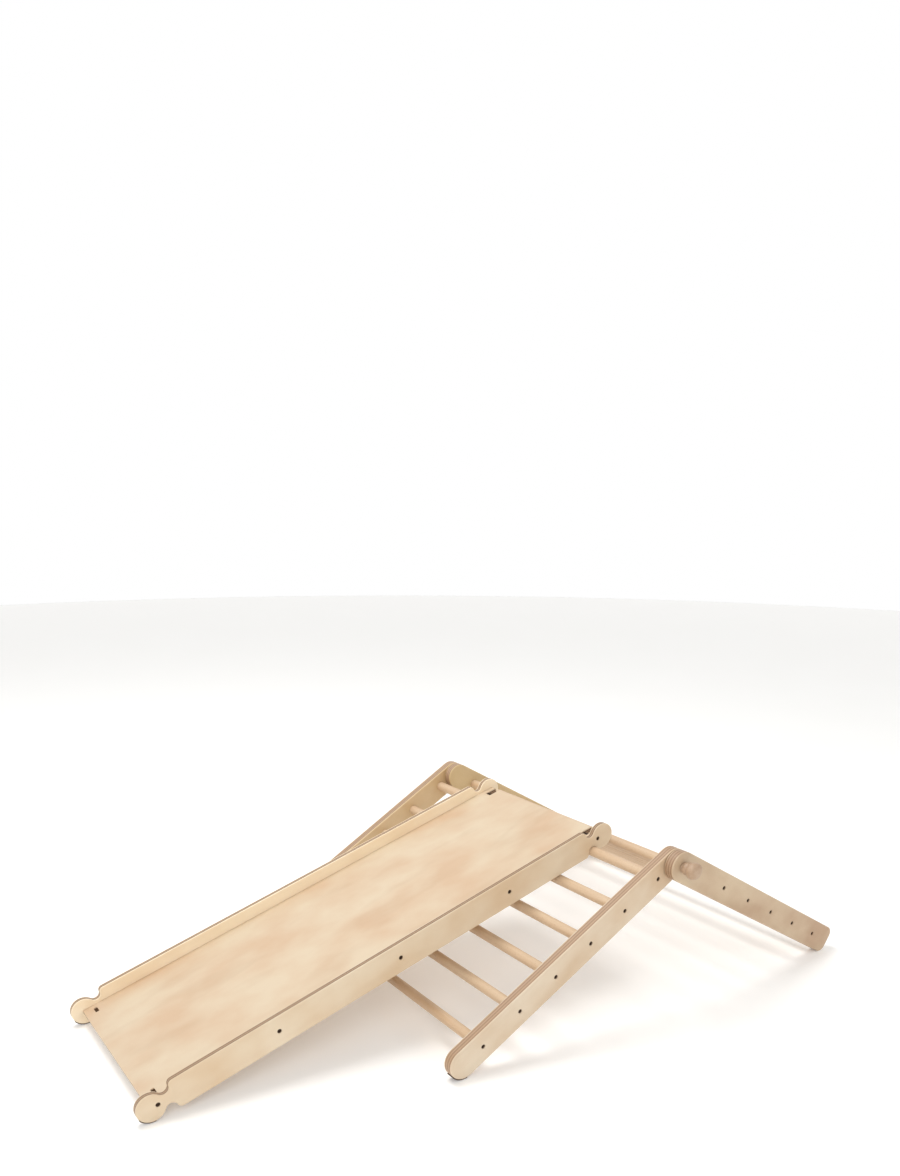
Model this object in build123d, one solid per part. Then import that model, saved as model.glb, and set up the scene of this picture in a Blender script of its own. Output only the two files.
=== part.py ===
from build123d import *
import math
import os

# Folding climbing frame for toddlers with a hook-on slide board, low and wide setting.
# Units are millimetres. X runs along the slide, its low end at -X. Y runs along the rungs.
# Z is up, and the floor is Z = 0. "Near" pieces are on the -Y side, "far" pieces on +Y.

# ladders
frame_width = 755.0          # over the outer faces of the outer rails
rail_thickness = 21.0
rail_width = 57.0
rail_reach = 540.0           # pivot to the centre of the front rail's round foot
rail_edge_round = 2.0
rear_foot_round = 17.0       # corner radius of the rear rail's square foot
pivot_height = 298.5
rail_gap = 1.2               # between the two rails that turn on each other

rung_diameter = 20.0
rung_count = 6
rung_pitch = 90.0
front_first_rung = 45.0      # pivot to the nearest rung
rear_first_rung = 50.0
socket_depth = 8.0
socket_clearance = 0.1

# slide board
board_width = 384.0          # over the outer faces of the side panels
board_shift = 12.0           # the board hangs this far off the frame's middle, towards +Y
side_thickness = 12.0
side_height = 56.0
head_spacing = 976.0         # between the centres of the round heads
head_radius = 25.0
next_rung_gap = 3.6          # panel's lower edge above the rung below the hooked one
notch_clearance = 0.5        # around the rung that the notch hangs on
shoulder_radius = 9.0
side_edge_round = 1.0
deck_thickness = 12.0
deck_end_round = 1.5
deck_top = 4.0               # above the panel's middle line
deck_low_overhang = 3.5      # past the centre of the low heads
deck_top_overhang = 8.5      # past the centre of the top heads
deck_gap = 0.1               # between the deck's face and each side panel
tongue_thickness = 8.0       # tongue on the deck's long edges, let into the panels
groove_depth = 4.0
groove_clearance = 0.2
slot_length = 7.0            # small slots in the deck's low corners
slot_width = 16.5
slot_from_head = 18.0        # head centre to the slot's middle
slot_from_side = 12.5
slot_corner_round = 1.0
cutout_from_head = 20.0      # head centre to the floor of the open cutouts at the top end
side_screws = (12.0, 237.0)  # from a head's centre, and one more at the middle

# fastenings
screw_head_diameter = 8.0
screw_head_height = 2.6
screw_shank_diameter = 4.0
screw_sink = 1.6             # top of the head below the wood's face
screw_clearance = 0.05
driver_slot_span = 4.8       # cross recess in a screw's head
driver_slot_width = 1.2
rung_screw_length = 48.0
side_screw_length = 36.0
recess_clearance = 0.25

# pivots
stud_diameter = 8.0
stud_clearance = 0.1
thread_clearance = 0.05
insert_diameter = 14.0
insert_length = 14.0
washer_diameter = 26.0
washer_thickness = 0.6
bolt_head_diameter = 20.0
bolt_head_height = 2.4
knob_gap = 0.3               # knob's foot above the rear rail's face
knob_foot_diameter = 21.0
knob_foot_height = 3.5
knob_foot_round = 1.0
knob_barrel_diameter = 25.0
knob_groove_diameter = 23.0  # between barrel and head
knob_groove_height = 15.0
knob_head_diameter = 32.0
knob_crown_height = 8.0      # widest part to the end
knob_length = 34.0
knob_stud_depth = 16.0       # stud's length inside the knob

# anti-slip pads on the round feet
pad_thickness = 2.0
pad_margin = 1.5             # pad's edge to the rail's face
pad_start = 222.0            # degrees from +X, turning up from it
pad_end = 284.0

# places that follow from the sizes above
half_rail = rail_width / 2
rung_radius = rung_diameter / 2
near_outer = -frame_width / 2
far_outer = frame_width / 2
front_near = near_outer + rail_thickness + rail_gap     # outer face of the near front rail
rear_far = far_outer - rail_thickness - rail_gap        # outer face of the far rear rail
rung_span = frame_width - 3 * rail_thickness - rail_gap

front_angle = math.degrees(math.asin((pivot_height - half_rail - pad_thickness) / rail_reach))
rear_length = rail_reach + half_rail                    # pivot to the square foot's end
foot_x = rear_length - rear_foot_round
foot_z = half_rail - rear_foot_round
rear_angle = math.degrees(
    math.asin((pivot_height - rear_foot_round) / math.hypot(foot_x, foot_z)) - math.atan2(foot_z, foot_x)
)

half_board = head_spacing / 2
half_side = side_height / 2
notch_radius = rung_radius + notch_clearance
low_head_z = head_radius + pad_thickness
top_rung_x = -front_first_rung * math.cos(math.radians(front_angle))
top_rung_z = pivot_height - front_first_rung * math.sin(math.radians(front_angle))


def notch_reach(notch_z):
    """Middle of the board to a notch's middle, where the notch meets the round head without a flat."""
    return half_board - math.sqrt((head_radius + notch_radius) ** 2 - notch_z ** 2)


def board_slope(notch_z):
    """Slope in degrees of a board that hangs by its top notch and stands on its low heads."""
    reach = half_board + notch_reach(notch_z)
    rise = math.asin((top_rung_z - low_head_z) / math.hypot(reach, notch_z))
    return math.degrees(rise + math.atan2(notch_z, reach))


# a notch is as deep as leaves the panel clear of the next rung, and the slope depends on it a little
notch_z = half_side - notch_radius
for _ in range(12):
    next_rung_drop = rung_pitch * math.sin(math.radians(front_angle - board_slope(notch_z)))
    notch_z = half_side + rung_radius + next_rung_gap - next_rung_drop

notch_x = notch_reach(notch_z)
notch_from_head = half_board - notch_x
deck_length = head_spacing + deck_low_overhang + deck_top_overhang
deck_middle_x = (deck_top_overhang - deck_low_overhang) / 2
deck_middle_z = deck_top - deck_thickness / 2
shoulder_z = half_side - shoulder_radius
shoulder_x = notch_x - math.sqrt((notch_radius + shoulder_radius) ** 2 - (notch_z - shoulder_z) ** 2)
board_near = board_shift - board_width / 2
board_far = board_shift + board_width / 2

board_angle = board_slope(notch_z)
board_cos = math.cos(math.radians(board_angle))
board_sin = math.sin(math.radians(board_angle))
board_x = top_rung_x - notch_x * board_cos - notch_z * board_sin
board_z = top_rung_z - notch_x * board_sin + notch_z * board_cos
low_head_x = board_x - half_board * board_cos

# the origin is under the middle of the whole object's box, on the floor
back_x = foot_x * math.cos(math.radians(rear_angle)) + foot_z * math.sin(math.radians(rear_angle))
shift_x = -(low_head_x - head_radius + back_x + rear_foot_round) / 2
knob_end = near_outer - knob_gap - knob_length
shift_y = -(knob_end + far_outer + knob_gap + bolt_head_height) / 2


def rod(radius, y_start, y_end, x=0.0, z=0.0):
    """A round bar along Y between two Y positions."""
    bar = extrude(Plane.XZ * Circle(radius), y_start - y_end)
    return Pos(x, y_start, z) * bar


def plate(face, y_start, y_end):
    """A face drawn in X and Z, given its thickness along Y."""
    return Pos(0, y_start, 0) * extrude(Plane.XZ * face, y_start - y_end)


def eased(solid, radius):
    """The plate with the edges of its two faces rounded."""
    rims = solid.faces().sort_by(Axis.Y)
    edges = rims[0].edges() + rims[-1].edges()
    return fillet(edges, radius)


def on_front(solid):
    return Pos(0, 0, pivot_height) * Rot(0, 180 - front_angle, 0) * solid


def on_rear(solid):
    return Pos(0, 0, pivot_height) * Rot(0, rear_angle, 0) * solid


def on_board(solid):
    return Pos(board_x, 0, board_z) * Rot(0, -board_angle, 0) * solid


def front_rail_face():
    """Both ends are half round."""
    return Pos(rail_reach / 2, 0) * SlotOverall(rail_reach + rail_width, rail_width)


def rear_rail_face():
    """Half round at the pivot, square with rounded corners at the foot."""
    foot = Pos(rear_length / 2, 0) * RectangleRounded(rear_length, rail_width, rear_foot_round)
    web = Pos(rear_length / 4, 0) * Rectangle(rear_length / 2, rail_width)
    return Circle(half_rail) + web + foot


def rung_places(first):
    return [first + i * rung_pitch for i in range(rung_count)]


def rail(face, first, y_outer, y_inner):
    """A ladder rail with rung sockets in its inner face and screw recesses in its outer face."""
    inward = 1 if y_inner > y_outer else -1
    body = plate(face, min(y_outer, y_inner), max(y_outer, y_inner))
    body = eased(body, rail_edge_round)
    for x in rung_places(first):
        socket_floor = y_inner - inward * socket_depth
        body -= rod(rung_radius + socket_clearance, *sorted((socket_floor, y_inner)), x=x)
        body -= screw_hole(x, y_outer, inward, rail_thickness)
    return body


def screw_hole(x, y_face, inward, depth):
    """A screw's clearance hole with its counterbore, cut from the outer face."""
    recess_floor = y_face + inward * (screw_sink + screw_head_height)
    recess = rod(screw_head_diameter / 2 + recess_clearance, *sorted((y_face, recess_floor)), x=x)
    hole = rod(screw_shank_diameter / 2 + screw_clearance, *sorted((y_face, y_face + inward * depth)), x=x)
    return recess + hole


def screw(x, y_face, inward, length):
    """A pan-head screw with a cross recess, its head sunk below the face."""
    top = y_face + inward * screw_sink
    under = top + inward * screw_head_height
    head = rod(screw_head_diameter / 2, *sorted((top, under)), x=x)
    shank = rod(screw_shank_diameter / 2, *sorted((under, under + inward * length)), x=x)
    cross_depth = screw_head_height / 2
    cross = Box(driver_slot_span, 2 * cross_depth, driver_slot_width)
    cross += Box(driver_slot_width, 2 * cross_depth, driver_slot_span)
    return head + shank - Pos(x, top, 0) * cross


def rung(x, y_start):
    """A dowel with its ends in the rails' sockets, drilled for its two screws."""
    y_near = y_start - socket_depth + socket_clearance
    y_far = y_start + rung_span + socket_depth - socket_clearance
    bar = rod(rung_radius, y_near, y_far, x=x)
    bite = rung_screw_length + socket_clearance
    wall = rail_thickness - screw_sink - screw_head_height
    for y_end, inward in ((y_start, 1), (y_start + rung_span, -1)):
        tip = y_end + inward * (bite - wall)
        start = y_end - inward * rail_thickness
        bar -= rod(screw_shank_diameter / 2 + screw_clearance, *sorted((start, tip)), x=x)
    return bar


def rung_screws(first, y_near, y_far):
    """All the screws of one ladder, two to a rung."""
    screws = []
    for x in rung_places(first):
        screws.append(screw(x, y_near, 1, rung_screw_length))
        screws.append(screw(x, y_far, -1, rung_screw_length))
    return screws


def foot_pad(radius, y_start, y_end, x, z):
    """A strip of rubber round the part of a round foot that meets the floor."""
    ring = Circle(radius + pad_thickness) - Circle(radius)
    reach = 2 * radius
    corners = [
        (0, 0),
        (reach * math.cos(math.radians(pad_start)), reach * math.sin(math.radians(pad_start))),
        (0, -2 * reach),
        (reach * math.cos(math.radians(pad_end)), reach * math.sin(math.radians(pad_end))),
    ]
    wedge = make_face(Polyline(*corners, close=True))
    return Pos(x, 0, z) * plate(ring & wedge, y_start + pad_margin, y_end - pad_margin)


def threaded_insert(y_start, y_end, bore_radius):
    """A flanged steel sleeve let into a rail on the pivot axis."""
    return rod(insert_diameter / 2, y_start, y_end) - rod(bore_radius, y_start, y_end)


def side_face():
    """A side panel: a round head at each end, with a notch above and below each neck."""
    to_notch = math.degrees(math.atan2(notch_z, notch_from_head))
    to_shoulder = math.degrees(math.atan2(shoulder_z - notch_z, notch_x - shoulder_x))
    head = CenterArc((-half_board, 0), head_radius, 180, to_notch - 180)
    notch = CenterArc((-notch_x, notch_z), notch_radius, 180 + to_notch, 180 - to_notch + to_shoulder)
    shoulder = CenterArc((-shoulder_x, shoulder_z), shoulder_radius, 180 + to_shoulder, -90 - to_shoulder)
    edge = Line((-shoulder_x, half_side), (0, half_side))
    middle = Polyline((0, half_side), (0, 0), (-half_board - head_radius, 0))
    quarter = make_face(Wire([head, notch, shoulder, edge] + middle.edges()))
    half = quarter + mirror(quarter, Plane.YZ)
    return half + mirror(half, Plane.XZ)


def screw_stations():
    """The board's screws, measured along it from its middle."""
    outer = [half_board - s for s in side_screws]
    return [-outer[0], -outer[1], 0.0, outer[1], outer[0]]


def side_panel(y_outer, y_inner):
    """A side panel with a blind groove for the deck and recesses for its screws."""
    inward = 1 if y_inner > y_outer else -1
    panel = eased(plate(side_face(), min(y_outer, y_inner), max(y_outer, y_inner)), side_edge_round)
    groove_height = tongue_thickness + 2 * groove_clearance
    groove = Box(deck_length + 2 * groove_clearance, 2 * groove_depth, groove_height)
    panel -= Pos(deck_middle_x, y_inner, deck_middle_z) * groove
    for x in screw_stations():
        panel -= screw_hole(x, y_outer, inward, side_thickness)
    return panel


def slide_deck():
    """The board itself: tongued long edges, two slots at its low end, two open cutouts at its top."""
    reach = groove_depth - groove_clearance
    inner_width = board_width - 2 * side_thickness
    deck = Box(deck_length, inner_width - 2 * deck_gap, deck_thickness)
    deck = fillet(deck.edges().filter_by(Axis.Y), deck_end_round)
    deck += Box(deck_length, inner_width + 2 * reach, tongue_thickness)
    deck = Pos(deck_middle_x, board_shift, deck_middle_z) * deck
    slot_y = inner_width / 2 - slot_from_side - slot_width / 2
    slot = extrude(RectangleRounded(slot_length, slot_width, slot_corner_round), deck_thickness, both=True)
    cutout_start = half_board - cutout_from_head
    cutout = Box(cutout_from_head + 2 * deck_top_overhang, slot_width, 2 * deck_thickness)
    cutout_x = cutout_start + (cutout_from_head + 2 * deck_top_overhang) / 2
    for y in (board_shift - slot_y, board_shift + slot_y):
        deck -= Pos(-half_board + slot_from_head, y, deck_middle_z) * slot
        deck -= Pos(cutout_x, y, deck_middle_z) * cutout
    for x in screw_stations():
        for y_face, inward in ((board_near, 1), (board_far, -1)):
            tip = y_face + inward * (screw_sink + screw_head_height + side_screw_length + socket_clearance)
            deck -= rod(screw_shank_diameter / 2 + screw_clearance, *sorted((y_face, tip)), x=x)
    return deck


def board_screws():
    screws = []
    for x in screw_stations():
        screws.append(screw(x, board_near, 1, side_screw_length))
        screws.append(screw(x, board_far, -1, side_screw_length))
    return screws


def clamp_knob():
    """A turned knob: low collar, short barrel, a groove and a domed head, bored for its stud."""
    foot = knob_foot_diameter / 2
    barrel = knob_barrel_diameter / 2
    groove = knob_groove_diameter / 2
    head = knob_head_diameter / 2
    widest = knob_length - knob_crown_height
    barrel_start = foot - knob_foot_round
    collar = Polyline(
        (0, 0),
        (foot - knob_foot_round, 0),
        (foot, knob_foot_round),
        (foot, knob_foot_height - knob_foot_round),
        (barrel_start, knob_foot_height),
    )
    swell = ThreePointArc(
        (barrel_start, knob_foot_height),
        (barrel, (2 * knob_groove_height + knob_foot_height) / 3),
        (groove, knob_groove_height),
    )
    shoulder = Spline((groove, knob_groove_height), (head, widest), tangents=((1, 0.6), (0, 1)))
    crown = Spline((head, widest), (0, knob_length), tangents=((0, 1), (-1, 0)))
    spine = Line((0, knob_length), (0, 0))
    section = make_face(Wire(collar.edges() + [swell.edge(), shoulder.edge(), crown.edge(), spine]))
    turned = Pos(0, near_outer - knob_gap, 0) * Rot(180, 0, 0) * revolve(section, Axis.Y)
    bore = rod(stud_diameter / 2, near_outer - knob_gap - knob_stud_depth, near_outer - knob_gap)
    return turned - bore


def pivot_bores(rail_solid, radius, y_start, y_end):
    return rail_solid - rod(radius, y_start, y_end)


def build():
    """Every piece in its place, by node name, with the frame's middle over the origin."""
    stud = stud_diameter / 2
    insert = insert_diameter / 2
    pieces = {}

    # front ladder: near rail inboard of the rear ladder's, far rail outboard
    near = rail(front_rail_face(), front_first_rung, front_near, front_near + rail_thickness)
    near = pivot_bores(near, insert, front_near, front_near + insert_length)
    far = rail(front_rail_face(), front_first_rung, far_outer, far_outer - rail_thickness)
    far = pivot_bores(far, stud + stud_clearance, far_outer - rail_thickness, far_outer)
    pieces["front_rail_near"] = on_front(near)
    pieces["front_rail_far"] = on_front(far)
    for i, x in enumerate(rung_places(front_first_rung)):
        number = rung_count - i
        pieces[f"front_rung_{number}"] = on_front(rung(x, front_near + rail_thickness))
    screws = rung_screws(front_first_rung, front_near, far_outer)
    pieces["front_rung_screws"] = Compound([on_front(s) for s in screws])
    insert_near = threaded_insert(front_near, front_near + insert_length, stud + thread_clearance)
    pieces["knob_insert"] = on_front(insert_near)
    washer_bore = stud + stud_clearance
    washer = rod(washer_diameter / 2, front_near - washer_thickness, front_near)
    pieces["near_washer"] = on_front(washer - rod(washer_bore, front_near - washer_thickness, front_near))
    washer_y = far_outer - rail_thickness
    washer = rod(washer_diameter / 2, washer_y - washer_thickness, washer_y)
    pieces["far_washer"] = on_front(washer - rod(washer_bore, washer_y - washer_thickness, washer_y))
    foot_centre_x = -rail_reach * math.cos(math.radians(front_angle))
    foot_centre_z = half_rail + pad_thickness
    pads = [
        foot_pad(half_rail, y, y + rail_thickness, foot_centre_x, foot_centre_z)
        for y in (front_near, far_outer - rail_thickness)
    ]
    pieces["front_foot_pads"] = Compound(pads)

    # rear ladder: near rail outboard, far rail inboard
    near = rail(rear_rail_face(), rear_first_rung, near_outer, near_outer + rail_thickness)
    near = pivot_bores(near, stud + stud_clearance, near_outer, near_outer + rail_thickness)
    far = rail(rear_rail_face(), rear_first_rung, rear_far, rear_far - rail_thickness)
    far = pivot_bores(far, insert, rear_far - insert_length, rear_far)
    pieces["rear_rail_near"] = on_rear(near)
    pieces["rear_rail_far"] = on_rear(far)
    for i, x in enumerate(rung_places(rear_first_rung)):
        number = rung_count - i
        pieces[f"rear_rung_{number}"] = on_rear(rung(x, near_outer + rail_thickness))
    screws = rung_screws(rear_first_rung, near_outer, rear_far)
    pieces["rear_rung_screws"] = Compound([on_rear(s) for s in screws])
    insert_far = threaded_insert(rear_far - insert_length, rear_far, stud + thread_clearance)
    pieces["bolt_insert"] = on_rear(insert_far)
    bolt_start = far_outer + knob_gap
    bolt = rod(stud, rear_far - insert_length + 1, bolt_start)
    dome = rod(bolt_head_diameter / 2, bolt_start, bolt_start + bolt_head_height)
    dome = chamfer(dome.faces().sort_by(Axis.Y)[-1].edges(), bolt_head_height / 3)
    pieces["pivot_bolt"] = on_rear(bolt + dome)

    # slide board
    pieces["slide_side_near"] = on_board(side_panel(board_near, board_near + side_thickness))
    pieces["slide_side_far"] = on_board(side_panel(board_far, board_far - side_thickness))
    pieces["slide_deck"] = on_board(slide_deck())
    pieces["slide_screws"] = Compound([on_board(s) for s in board_screws()])
    pads = [
        foot_pad(head_radius, y, y + side_thickness, low_head_x, low_head_z)
        for y in (board_near, board_far - side_thickness)
    ]
    pieces["slide_foot_pads"] = Compound(pads)

    # clamping knob at the near pivot
    pieces["clamp_knob"] = Pos(0, 0, pivot_height) * clamp_knob()
    knob_stud = rod(stud, near_outer - knob_gap - knob_stud_depth, front_near + insert_length - 1)
    pieces["knob_stud"] = Pos(0, 0, pivot_height) * knob_stud

    return {name: Pos(shift_x, shift_y, 0) * piece for name, piece in pieces.items()}


def main():
    os.makedirs("parts", exist_ok=True)
    for name, piece in build().items():
        export_step(piece, f"parts/{name}.step")


main()
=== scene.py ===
import math

import bmesh
import bpy
from mathutils import Matrix, Vector


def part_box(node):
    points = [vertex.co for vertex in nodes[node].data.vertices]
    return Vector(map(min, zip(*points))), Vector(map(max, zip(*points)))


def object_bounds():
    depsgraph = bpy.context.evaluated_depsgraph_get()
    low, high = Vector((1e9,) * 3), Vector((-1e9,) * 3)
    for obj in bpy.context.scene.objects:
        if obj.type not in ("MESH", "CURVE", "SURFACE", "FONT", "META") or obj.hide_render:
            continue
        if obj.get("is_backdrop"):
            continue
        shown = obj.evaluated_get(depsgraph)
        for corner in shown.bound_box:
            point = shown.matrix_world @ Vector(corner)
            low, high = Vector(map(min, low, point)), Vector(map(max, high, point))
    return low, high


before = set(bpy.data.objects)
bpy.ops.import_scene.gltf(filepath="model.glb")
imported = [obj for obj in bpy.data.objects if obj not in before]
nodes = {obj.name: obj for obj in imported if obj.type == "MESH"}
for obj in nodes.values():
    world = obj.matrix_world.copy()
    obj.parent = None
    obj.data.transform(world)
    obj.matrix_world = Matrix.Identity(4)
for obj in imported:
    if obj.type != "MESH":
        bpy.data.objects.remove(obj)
cadLow, cadHigh = (Vector(corner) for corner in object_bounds())
print("frame loaded:", len(nodes), "nodes")


# colour and node helpers

def linearColour(hexValue, alpha=1.0):
    channels = [int(hexValue[i:i + 2], 16) / 255 for i in (1, 3, 5)]
    return [c / 12.92 if c <= 0.04045 else ((c + 0.055) / 1.055) ** 2.4 for c in channels] + [alpha]


def addNode(tree, kind, settings=None, values=None, links=None):
    # settings are the node's own, values are sockets by name or number, links are (node, output) by socket
    node = tree.nodes.new(kind)
    for key, value in (settings or {}).items():
        setattr(node, key, value)
    for key, value in (values or {}).items():
        node.inputs[key].default_value = value
    for key, (source, output) in (links or {}).items():
        tree.links.new(source.outputs[output], node.inputs[key])
    return node


def newMaterial(name):
    material = bpy.data.materials.new(name)
    material.use_nodes = True
    material.node_tree.nodes.clear()
    return material, material.node_tree


def fillRamp(node, stops):
    ramp = node.color_ramp
    while len(ramp.elements) > len(stops):
        ramp.elements.remove(ramp.elements[-1])
    while len(ramp.elements) < len(stops):
        ramp.elements.new(1.0)
    for element, (position, colour) in zip(ramp.elements, stops):
        element.position = position
        element.color = linearColour(colour)


def finishSurface(tree, look, base, height):
    # a look without lacquer, metal or glow leaves that part of the shader at nothing
    relief = addNode(tree, "ShaderNodeBump", None,
                     {"Strength": look["bumpStrength"], "Distance": look["bumpDepth"] / 1000},
                     {"Height": height})
    shader = addNode(tree, "ShaderNodeBsdfPrincipled", None,
                     {"IOR": look["ior"], "Roughness": look["roughness"],
                      "Metallic": look.get("metallic", 0.0),
                      "Coat Weight": look.get("lacquer", 0.0),
                      "Coat Roughness": look.get("lacquerRoughness", 0.3),
                      "Emission Strength": look.get("glow", 0.0)},
                     {"Base Color": base, "Normal": (relief, "Normal")})
    addNode(tree, "ShaderNodeOutputMaterial", None, None, {"Surface": (shader, "BSDF")})


# birch plywood, rotary-cut face veneer under a thin matt lacquer

plywoodLook = {
    "figureLength": 300.0,      # mm along the grain, one soft wave of the rotary-cut figure
    "figureWidth": 80.0,        # mm across it
    "ringWidth": 26.0,          # mm, about the distance between the faint growth bands
    "ringDepth": 0.17,          # how strongly the bands show, 0 to 1
    "ringFade": 0.3,            # how far a band fades, 0.5 reaching the next one
    "poreLength": 9.0,          # mm, birch's short fine pores
    "poreWidth": 1.2,           # mm; real pores are far finer and wouldn't show
    "poreDepth": 0.14,          # how strongly they show
    "poreSpan": (0.52, 0.78),   # noise values between which a pore deepens
    "patch": 110.0,             # mm, warm clouds in the veneer
    "patchStretch": 0.7,        # below 1 draws them out along the grain
    "patchSpan": (0.38, 0.66),
    "fibre": 2.5,               # mm, mottling of the cut edges
    "fibreDepth": 0.45,
    "fibreSpan": (0.35, 0.7),
    "bumpStrength": 0.18,
    "bumpDepth": 0.15,          # mm
    "ior": 1.5,
    "roughness": 0.5,
    "lacquer": 0.12,
    "lacquerRoughness": 0.4,
}

# each sheet's face tones: pale ground, warm cloud, and darker grain line, which the cut fibres share
# the sets differ partly as real veneer does and partly as painted light: straw, amber and tan are darker and
# browner as painted shade on the far and rear rails, and the brightest set paints the light the deck throws
# onto the far side panel
veneerAndLightTones = {
    "cream": ("#d5c4ac", "#cab091", "#b0906a"),
    "sand": ("#dac8ad", "#d0b695", "#b7976f"),
    "bounceLitHoney": ("#f6e5c8", "#efd9b8", "#d0af84"),
    "straw": ("#d5bd98", "#caad83", "#ab895f"),
    "amber": ("#cbb287", "#bfa273", "#a07e55"),
    "tan": ("#c8b294", "#b39476", "#90704c"),
    "ivory": ("#d4c1a5", "#ccae8e", "#b08b66"),
}
# sheets: thickness in mm, count of plies, and the tones of the cut edge, darker than the face:
# plies that run along the edge, then plies that cross it; the darkest cross plies, on the panels and deck, are
# partly painted shade inside the slots and notches and along the deck's low edge
railSheet = {"thickness": 21.0, "plies": 7, "cut": ("#b3957a", "#94745a")}
panelSheet = {"thickness": 12.0, "plies": 5, "cut": ("#a88a6d", "#5f4430")}
deckSheet = {"thickness": 12.0, "plies": 5, "cut": ("#8a6d52", "#523a28")}


def birchPlywood(name, veneerAndLight, sheet, centre, turn, stackAxis):
    # the eye sees a pale, nearly even face with faint drifting bands, and brown striped edges
    look = plywoodLook
    plyCount = sheet["plies"]
    pale, warm, line = (linearColour(tone) for tone in veneerAndLightTones[veneerAndLight])
    material, tree = newMaterial(name)
    place = addNode(tree, "ShaderNodeTexCoord")
    local = addNode(tree, "ShaderNodeMapping", {"vector_type": "TEXTURE"},
                    {"Location": centre, "Rotation": (0.0, math.radians(turn), 0.0)},
                    {"Vector": (place, "Object")})

    # broad figure: long along the grain, short across it, and folded into faint growth bands
    across = 1000 / look["figureWidth"]
    figureScale = addNode(tree, "ShaderNodeMapping", None,
                          {"Scale": (1000 / look["figureLength"], across, across)},
                          {"Vector": (local, "Vector")})
    drift = addNode(tree, "ShaderNodeTexNoise", None, {"Scale": 1.0, "Detail": 3.0, "Roughness": 0.5},
                    {"Vector": (figureScale, "Vector")})
    ringCount = addNode(tree, "ShaderNodeMath", {"operation": "MULTIPLY"},
                        {1: look["figureWidth"] / look["ringWidth"]}, {0: (drift, "Fac")})
    ringWave = addNode(tree, "ShaderNodeMath", {"operation": "PINGPONG"}, {1: 0.5},
                       {0: (ringCount, "Value")})
    rings = addNode(tree, "ShaderNodeMapRange", None,
                    {"From Min": 0.0, "From Max": look["ringFade"], "To Min": look["ringDepth"], "To Max": 0.0},
                    {"Value": (ringWave, "Value")})

    # warm clouds, a little longer along the grain
    patchScale = 1000 / look["patch"]
    cloudScale = addNode(tree, "ShaderNodeMapping", None,
                         {"Scale": (look["patchStretch"] * patchScale, patchScale, patchScale)},
                         {"Vector": (local, "Vector")})
    clouds = addNode(tree, "ShaderNodeTexNoise", None, {"Scale": 1.0, "Detail": 3.0, "Roughness": 0.55},
                     {"Vector": (cloudScale, "Vector")})
    cloudLow, cloudHigh = look["patchSpan"]
    cloudRange = addNode(tree, "ShaderNodeMapRange", None, {"From Min": cloudLow, "From Max": cloudHigh},
                         {"Value": (clouds, "Fac")})

    # pores: short dark dashes along the grain
    fine = 1000 / look["poreWidth"]
    poreScale = addNode(tree, "ShaderNodeMapping", None, {"Scale": (1000 / look["poreLength"], fine, fine)},
                        {"Vector": (local, "Vector")})
    pores = addNode(tree, "ShaderNodeTexNoise", None, {"Scale": 1.0, "Detail": 3.0, "Roughness": 0.65},
                    {"Vector": (poreScale, "Vector")})
    poreLow, poreHigh = look["poreSpan"]
    poreRange = addNode(tree, "ShaderNodeMapRange", None,
                        {"From Min": poreLow, "From Max": poreHigh, "To Max": look["poreDepth"]},
                        {"Value": (pores, "Fac")})

    base = addNode(tree, "ShaderNodeMix", {"data_type": "RGBA"}, {"A": pale, "B": warm},
                   {"Factor": (cloudRange, "Result")})
    ringed = addNode(tree, "ShaderNodeMix", {"data_type": "RGBA"}, {"B": line},
                     {"Factor": (rings, "Result"), "A": (base, "Result")})
    face = addNode(tree, "ShaderNodeMix", {"data_type": "RGBA"}, {"B": line},
                   {"Factor": (poreRange, "Result"), "A": (ringed, "Result")})

    # the plies, counted from the sheet's middle, drawn thicker than the real 1.4 mm so that they show
    split = addNode(tree, "ShaderNodeSeparateXYZ", None, None, {"Vector": (local, "Vector")})
    # a hair over, so that the sheet's faces lie inside the outer plies
    plyThickness = 1.01 * sheet["thickness"] / plyCount
    plies = addNode(tree, "ShaderNodeMath", {"operation": "DIVIDE"}, {1: plyThickness / 1000},
                    {0: (split, stackAxis)})
    fromMiddle = addNode(tree, "ShaderNodeMath", {"operation": "ABSOLUTE"}, None, {0: (plies, "Value")})
    core = addNode(tree, "ShaderNodeMath", {"operation": "LESS_THAN"}, {1: plyCount / 2 - 1},
                   {0: (fromMiddle, "Value")})
    # half a period is one ply, and the count starts so that the face plies run along, the ramp's black
    counted = addNode(tree, "ShaderNodeMath", {"operation": "MULTIPLY_ADD"}, {1: 0.5, 2: plyCount / 4},
                      {0: (plies, "Value")})
    wrapped = addNode(tree, "ShaderNodeMath", {"operation": "FRACT"}, None, {0: (counted, "Value")})
    crossPly = addNode(tree, "ShaderNodeValToRGB", None, None, {"Fac": (wrapped, "Value")})
    fillRamp(crossPly, [(0.0, "#000000"), (0.46, "#000000"), (0.54, "#ffffff"), (0.96, "#ffffff"),
                        (1.0, "#000000")])
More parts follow.
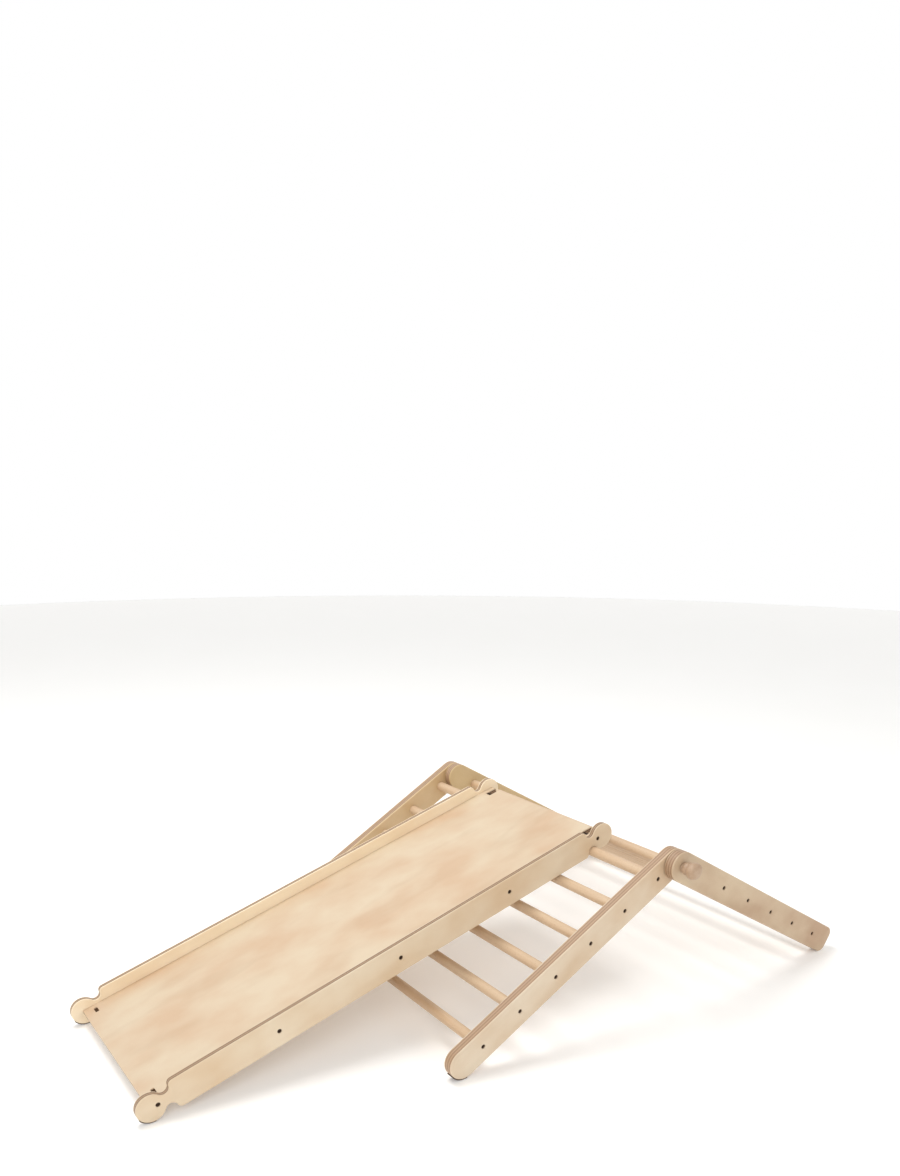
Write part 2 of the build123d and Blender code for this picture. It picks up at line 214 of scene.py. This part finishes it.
    # the cut-edge tones carry painted shade for the slots and notches as well as the edge's own colour
    alongTone, crossTone = (linearColour(tone) for tone in sheet["cut"])
    striped = addNode(tree, "ShaderNodeMix", {"data_type": "RGBA"}, {"A": alongTone, "B": crossTone},
                      {"Factor": (crossPly, "Color")})
    fibre = addNode(tree, "ShaderNodeTexNoise", None,
                    {"Scale": 1000 / look["fibre"], "Detail": 3.0, "Roughness": 0.7},
                    {"Vector": (local, "Vector")})
    fibreLow, fibreHigh = look["fibreSpan"]
    fibreRange = addNode(tree, "ShaderNodeMapRange", None,
                         {"From Min": fibreLow, "From Max": fibreHigh, "To Max": look["fibreDepth"]},
                         {"Value": (fibre, "Fac")})
    edge = addNode(tree, "ShaderNodeMix", {"data_type": "RGBA"}, {"B": line},
                   {"Factor": (fibreRange, "Result"), "A": (striped, "Result")})
    colour = addNode(tree, "ShaderNodeMix", {"data_type": "RGBA"}, None,
                     {"Factor": (core, "Value"), "A": (face, "Result"), "B": (edge, "Result")})

    height = addNode(tree, "ShaderNodeMath", {"operation": "ADD"}, None,
                     {0: (poreRange, "Result"), 1: (crossPly, "Color")})
    finishSurface(tree, look, (colour, "Result"), (height, "Value"))
    return material


# turned beech, finely sanded, under the same lacquer

beechLook = {
    "figureLength": 260.0,      # mm, slow change of tone along the rung
    "figureWidth": 16.0,        # mm across it
    "figureSpan": (0.3, 0.72),  # noise values between which the grain browns
    "fleckLength": 4.0,         # mm, beech's short brown rays
    "fleckWidth": 0.9,          # mm; wider than the real ones, so that they show
    "fleckDepth": 0.5,          # how strongly they show
    "fleckSpan": (0.58, 0.74),
    "bumpStrength": 0.15,
    "bumpDepth": 0.1,           # mm
    "ior": 1.5,
    "roughness": 0.48,
    "lacquer": 0.1,
    "lacquerRoughness": 0.4,
}


# pale ground, browner grain, fleck
rungTones = ("#d8c0a2", "#c9a987", "#a27c5a")
knobTones = ("#b99f86", "#a78769", "#82624a")


def turnedBeech(name, tones):
    # the eye sees straight pinkish-cream grain along the rod with short brown flecks
    look = beechLook
    pale, brown, fleck = (linearColour(tone) for tone in tones)
    material, tree = newMaterial(name)
    place = addNode(tree, "ShaderNodeTexCoord")
    across = 1000 / look["figureWidth"]
    grainScale = addNode(tree, "ShaderNodeMapping", None,
                         {"Scale": (across, 1000 / look["figureLength"], across)},
                         {"Vector": (place, "Object")})
    grain = addNode(tree, "ShaderNodeTexNoise", None, {"Scale": 1.0, "Detail": 5.0, "Roughness": 0.6},
                    {"Vector": (grainScale, "Vector")})
    grainLow, grainHigh = look["figureSpan"]
    grainRange = addNode(tree, "ShaderNodeMapRange", None, {"From Min": grainLow, "From Max": grainHigh},
                         {"Value": (grain, "Fac")})
    thin = 1000 / look["fleckWidth"]
    fleckScale = addNode(tree, "ShaderNodeMapping", None, {"Scale": (thin, 1000 / look["fleckLength"], thin)},
                         {"Vector": (place, "Object")})
    flecks = addNode(tree, "ShaderNodeTexNoise", None, {"Scale": 1.0, "Detail": 2.0, "Roughness": 0.6},
                     {"Vector": (fleckScale, "Vector")})
    fleckLow, fleckHigh = look["fleckSpan"]
    fleckRange = addNode(tree, "ShaderNodeMapRange", None,
                         {"From Min": fleckLow, "From Max": fleckHigh, "To Max": look["fleckDepth"]},
                         {"Value": (flecks, "Fac")})
    base = addNode(tree, "ShaderNodeMix", {"data_type": "RGBA"}, {"A": pale, "B": brown},
                   {"Factor": (grainRange, "Result")})
    colour = addNode(tree, "ShaderNodeMix", {"data_type": "RGBA"}, {"B": fleck},
                     {"Factor": (fleckRange, "Result"), "A": (base, "Result")})
    finishSurface(tree, look, (colour, "Result"), (fleckRange, "Result"))
    return material


# small steel parts and the pads

# speck is the mottling's grain in mm
steelLook = {
    "tones": ("#9c9c98", "#bdbcb6"),
    "speck": 1.2,
    "bumpStrength": 0.2,
    "bumpDepth": 0.1,
    "ior": 1.5,
    "roughness": 0.42,
    "metallic": 0.9,
}
# the screws' near-black brown is partly the browned steel and partly painted shade of the recesses they sit in
brownedAndShadedLook = {
    "tones": ("#2a1a0f", "#4b3422"),
    "speck": 1.0,
    "bumpStrength": 0.2,
    "bumpDepth": 0.1,
    "ior": 1.5,
    "roughness": 0.7,
    "metallic": 0.2,
}
# the pads' dark brown, kept dark for contrast, is partly rubber and partly painted shade, standing for the
# contact shadow where the feet meet the floor
rubberAndContactShadeLook = {
    "tones": ("#3a2a1e", "#5a4535"),
    "speck": 1.5,
    "bumpStrength": 0.2,
    "bumpDepth": 0.1,
    "ior": 1.52,
    "roughness": 0.85,
}


def speckled(name, look):
    # fine mottling: plating, browning or moulding never gives one even tone
    low, high = (linearColour(tone) for tone in look["tones"])
    material, tree = newMaterial(name)
    place = addNode(tree, "ShaderNodeTexCoord")
    grit = addNode(tree, "ShaderNodeTexNoise", None,
                   {"Scale": 1000 / look["speck"], "Detail": 3.0, "Roughness": 0.6},
                   {"Vector": (place, "Object")})
    colour = addNode(tree, "ShaderNodeMix", {"data_type": "RGBA"}, {"A": low, "B": high},
                     {"Factor": (grit, "Fac")})
    finishSurface(tree, look, (colour, "Result"), (grit, "Fac"))
    return material


def paint(node, material):
    mesh = nodes[node].data
    mesh.materials.clear()
    mesh.materials.append(material)


# slopes of the two ladders and the slide board as the CAD has them, in degrees about Y
frontTurn, rearTurn, boardTurn = -29.76, 29.49, -16.51


def middle(node):
    low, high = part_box(node)
    return (low + high) / 2


# the rails are one plywood; the far and rear rails' darker, browner tones are partly their own veneer and
# partly painted shade
railVeneersAndShade = {
    "front_rail_near": "cream",
    "front_rail_far": "straw",
    "rear_rail_near": "tan",
    "rear_rail_far": "amber",
}
for node, veneerAndLight in railVeneersAndShade.items():
    turn = frontTurn if node.startswith("front") else rearTurn
    paint(node, birchPlywood(f"birchPlywood_{node}", veneerAndLight, railSheet, middle(node), turn, "Y"))

# the far side panel's brighter, yellower tone is painted light, standing for what the deck throws onto its
# inner face
sideVeneersAndBounce = {"slide_side_near": "sand", "slide_side_far": "bounceLitHoney"}
for node, veneerAndLight in sideVeneersAndBounce.items():
    paint(node, birchPlywood(f"birchPlywood_{node}", veneerAndLight, panelSheet, middle(node), boardTurn, "Y"))

deckPlywood = birchPlywood("birchPlywood_deck", "ivory", deckSheet, middle("slide_deck"), boardTurn, "Z")
paint("slide_deck", deckPlywood)
print("plywood done")

beech = turnedBeech("turnedBeech_rungs", rungTones)
knobBeech = turnedBeech("turnedBeech_knob", knobTones)
for node in nodes:
    if "_rung_" in node and not node.endswith("screws"):
        paint(node, beech)
paint("clamp_knob", knobBeech)

zinc = speckled("zincPlatedSteel", steelLook)
brownedAndShaded = speckled("brownedSteelAndShade", brownedAndShadedLook)
rubberAndContactShade = speckled("brownRubberAndContactShade", rubberAndContactShadeLook)
for node in ("knob_stud", "pivot_bolt", "knob_insert", "bolt_insert", "near_washer", "far_washer"):
    paint(node, zinc)
for node in ("front_rung_screws", "rear_rung_screws", "slide_screws"):
    paint(node, brownedAndShaded)
for node in ("front_foot_pads", "slide_foot_pads"):
    paint(node, rubberAndContactShade)
print("small parts done")


# pale floor and soft studio light; lengths in metres, powers in watts

floorLook = {
    "size": 16.0,
    "drop": 0.0005,             # under the feet, so that the two surfaces don't fight
    "tones": ("#fbfaf8", "#f7f6f3"),
    "mottle": 3.0,              # patches per metre
    "glow": 0.13,               # lifts the far floor towards the sweep's white
    "bumpStrength": 0.05,
    "bumpDepth": 0.1,           # mm
    "ior": 1.4,
    "roughness": 0.9,
}
studioLook = {
    "keyPlace": (-2.6, -3.0, 3.2),
    "keySize": 2.6,
    "keyPower": 43.5,
    "topPlace": (-0.6, 0.8, 3.3),
    "topSize": 1.6,
    "topPower": 57.0,
    "sweepRadius": 7.5,
    "sweepHeight": 9.0,
    "sweepSegments": 96,
    "sweepColour": "#ffffff",
    "sweepGlow": 1.0,
    "worldColour": "#ffffff",
    "worldStrength": 0.28,
}


def stageMesh(name, shape, material):
    mesh = bpy.data.meshes.new(name)
    shape.to_mesh(mesh)
    shape.free()
    mesh.materials.append(material)
    staged = bpy.data.objects.new(name, mesh)
    bpy.context.scene.collection.objects.link(staged)
    staged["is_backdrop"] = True


def makeFloor():
    # even white paint, faintly mottled
    look = floorLook
    low, high = (linearColour(tone) for tone in look["tones"])
    material, tree = newMaterial("paintedStudioFloor")
    place = addNode(tree, "ShaderNodeTexCoord")
    mottle = addNode(tree, "ShaderNodeTexNoise", None, {"Scale": look["mottle"], "Detail": 2.0},
                     {"Vector": (place, "Object")})
    tone = addNode(tree, "ShaderNodeMix", {"data_type": "RGBA"}, {"A": low, "B": high},
                   {"Factor": (mottle, "Fac")})
    finishSurface(tree, look, (tone, "Result"), (mottle, "Fac"))
    shape = bmesh.new()
    bmesh.ops.create_grid(shape, x_segments=1, y_segments=1, size=look["size"] / 2)
    bmesh.ops.translate(shape, verts=shape.verts, vec=(0, 0, -look["drop"]))
    stageMesh("studioFloor", shape, material)


def makeSweep():
    # lit white paper standing round the floor, closed like a drum so that every side sees the same light
    look = studioLook
    material, tree = newMaterial("litPaperSweep")
    glow = addNode(tree, "ShaderNodeEmission", None,
                   {"Color": linearColour(look["sweepColour"]), "Strength": look["sweepGlow"]})
    addNode(tree, "ShaderNodeOutputMaterial", None, None, {"Surface": (glow, "Emission")})
    shape = bmesh.new()
    bmesh.ops.create_circle(shape, segments=look["sweepSegments"], radius=look["sweepRadius"])
    rim = bmesh.ops.extrude_edge_only(shape, edges=shape.edges[:])["geom"]
    top = [vert for vert in rim if isinstance(vert, bmesh.types.BMVert)]
    bmesh.ops.translate(shape, verts=top, vec=(0, 0, look["sweepHeight"]))
    stageMesh("paperSweep", shape, material)


def addAreaLight(name, place, target, size, power):
    light = bpy.data.lights.new(name, "AREA")
    light.shape = "DISK"
    light.size = size
    light.energy = power
    lamp = bpy.data.objects.new(name, light)
    lamp.location = place
    lamp.rotation_euler = (Vector(target) - Vector(place)).to_track_quat("-Z", "Y").to_euler()
    bpy.context.scene.collection.objects.link(lamp)


makeFloor()
makeSweep()
middleOfAll = (cadLow + cadHigh) / 2
for lamp in ("key", "top"):
    addAreaLight(f"{lamp}Light", studioLook[f"{lamp}Place"], middleOfAll, studioLook[f"{lamp}Size"],
                 studioLook[f"{lamp}Power"])
world = bpy.data.worlds.new("studioWorld")
world.use_nodes = True
background = world.node_tree.nodes["Background"]
background.inputs["Color"].default_value = linearColour(studioLook["worldColour"])
background.inputs["Strength"].default_value = studioLook["worldStrength"]
bpy.context.scene.world = world
bpy.context.scene.view_settings.view_transform = "Standard"
print("studio done")


# camera at the usual catalogue angle, from the slide's low end on the knob's side

cameraLook = {
    "place": (-1.048, -1.470, 0.932),      # metres
    "azimuth": 34.32,      # degrees from +Y towards +X
    "elevation": 24.27,    # degrees, looking down
    "roll": 0.37,
    "lens": 29.47,         # mm
    "sensor": 36.0,        # mm
    "shiftX": 0.0054,
    "shiftY": 0.2812,
}


def addCamera():
    look = cameraLook
    azimuth, elevation, roll = (math.radians(look[key]) for key in ("azimuth", "elevation", "roll"))
    forward = Vector((math.sin(azimuth) * math.cos(elevation), math.cos(azimuth) * math.cos(elevation),
                      -math.sin(elevation)))
    levelRight = Vector((math.cos(azimuth), -math.sin(azimuth), 0))
    levelUp = levelRight.cross(forward)
    right = levelRight * math.cos(roll) + levelUp * math.sin(roll)
    up = levelUp * math.cos(roll) - levelRight * math.sin(roll)
    turn = Matrix((right, up, -forward)).transposed()
    camera = bpy.data.cameras.new("catalogueCamera")
    camera.sensor_fit = "AUTO"
    camera.sensor_width = look["sensor"]
    camera.lens = look["lens"]
    camera.shift_x = look["shiftX"]
    camera.shift_y = look["shiftY"]
    camera.dof.use_dof = False
    holder = bpy.data.objects.new("catalogueCamera", camera)
    holder.matrix_world = Matrix.Translation(look["place"]) @ turn.to_4x4()
    bpy.context.scene.collection.objects.link(holder)
    bpy.context.scene.camera = holder


addCamera()

print("camera done")
